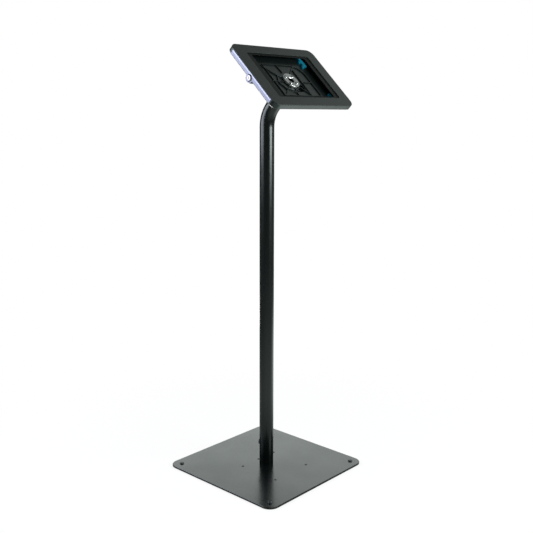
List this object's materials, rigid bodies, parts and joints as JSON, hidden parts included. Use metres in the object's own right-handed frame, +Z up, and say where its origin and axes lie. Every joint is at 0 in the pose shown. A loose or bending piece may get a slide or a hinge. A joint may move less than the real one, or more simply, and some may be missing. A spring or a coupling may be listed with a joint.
{
  "type": "tablet security kiosk stand",
  "caption": "Floor-standing security kiosk: square steel floor plate, bent round pole and a tilted, swivelling tablet enclosure with a keyed side bar.",
  "frame": {"origin": "on the floor at the middle of the square floor plate", "axes": "+Z up along the pole; the screen faces -Y; the locked side bar is on the -X side of the enclosure"},
  "size_m": [0.4, 0.4, 1.1725],
  "materials": {
    "coated_steel": "satin black powder coat",
    "black_aluminium": "fine satin black coat on aluminium sheet",
    "black_plastic": "moulded, fine matt texture",
    "satin_aluminium": "satin anodised",
    "chrome": "polished",
    "zinc_steel": "zinc plated",
    "blue_plastic": "moulded teal blue",
    "rubber": "matt",
    "foam": "closed-cell foam",
    "nylon": "plain nylon"
  },
  "bodies": {
    "stand": {"base_plate": "coated_steel", "foot_pads": "rubber", "foot_screws": "zinc_steel", "pole_plug": "zinc_steel", "pole_screws": "zinc_steel", "pole_tube": "coated_steel", "cable_grommet": "rubber", "swivel_flange": "coated_steel", "swivel_stop_pin": "zinc_steel", "rear_friction_washer": "nylon", "front_friction_washer": "nylon", "clamp_ring": "chrome", "clamp_screws": "chrome"},
    "enclosure": {"rear_shell": "black_plastic", "faceplate": "black_aluminium", "case_screws": "zinc_steel", "window_mask": "black_plastic", "foam_strips": "foam", "tablet_stop_upper_right": "blue_plastic", "tablet_stop_lower_right": "blue_plastic", "stop_screws": "zinc_steel", "catch_plate": "zinc_steel", "catch_screws": "zinc_steel"},
    "bar": {"side_bar": "satin_aluminium", "lock_barrel": "chrome", "lock_nut": "zinc_steel"},
    "lock": {"lock_plug": "chrome", "lock_cam": "zinc_steel", "cam_nut": "zinc_steel"}
  },
  "joints": [
    {"name": "enclosure_swivel", "type": "hinge", "parent": "stand", "child": "enclosure", "pos_m": [0, -0.0819, 1.08421], "axis": [0, -0.6947, 0.7193], "range_deg": [0, 90]},
    {"name": "bar_slide", "type": "slide", "parent": "enclosure", "child": "bar", "axis": [-1, 0, 0], "range_m": [0, 0.025]},
    {"name": "lock_turn", "type": "hinge", "parent": "bar", "child": "lock", "pos_m": [-0.156, -0.08503, 1.08745], "axis": [-1, 0, 0], "range_deg": [0, 90]}
  ]
}
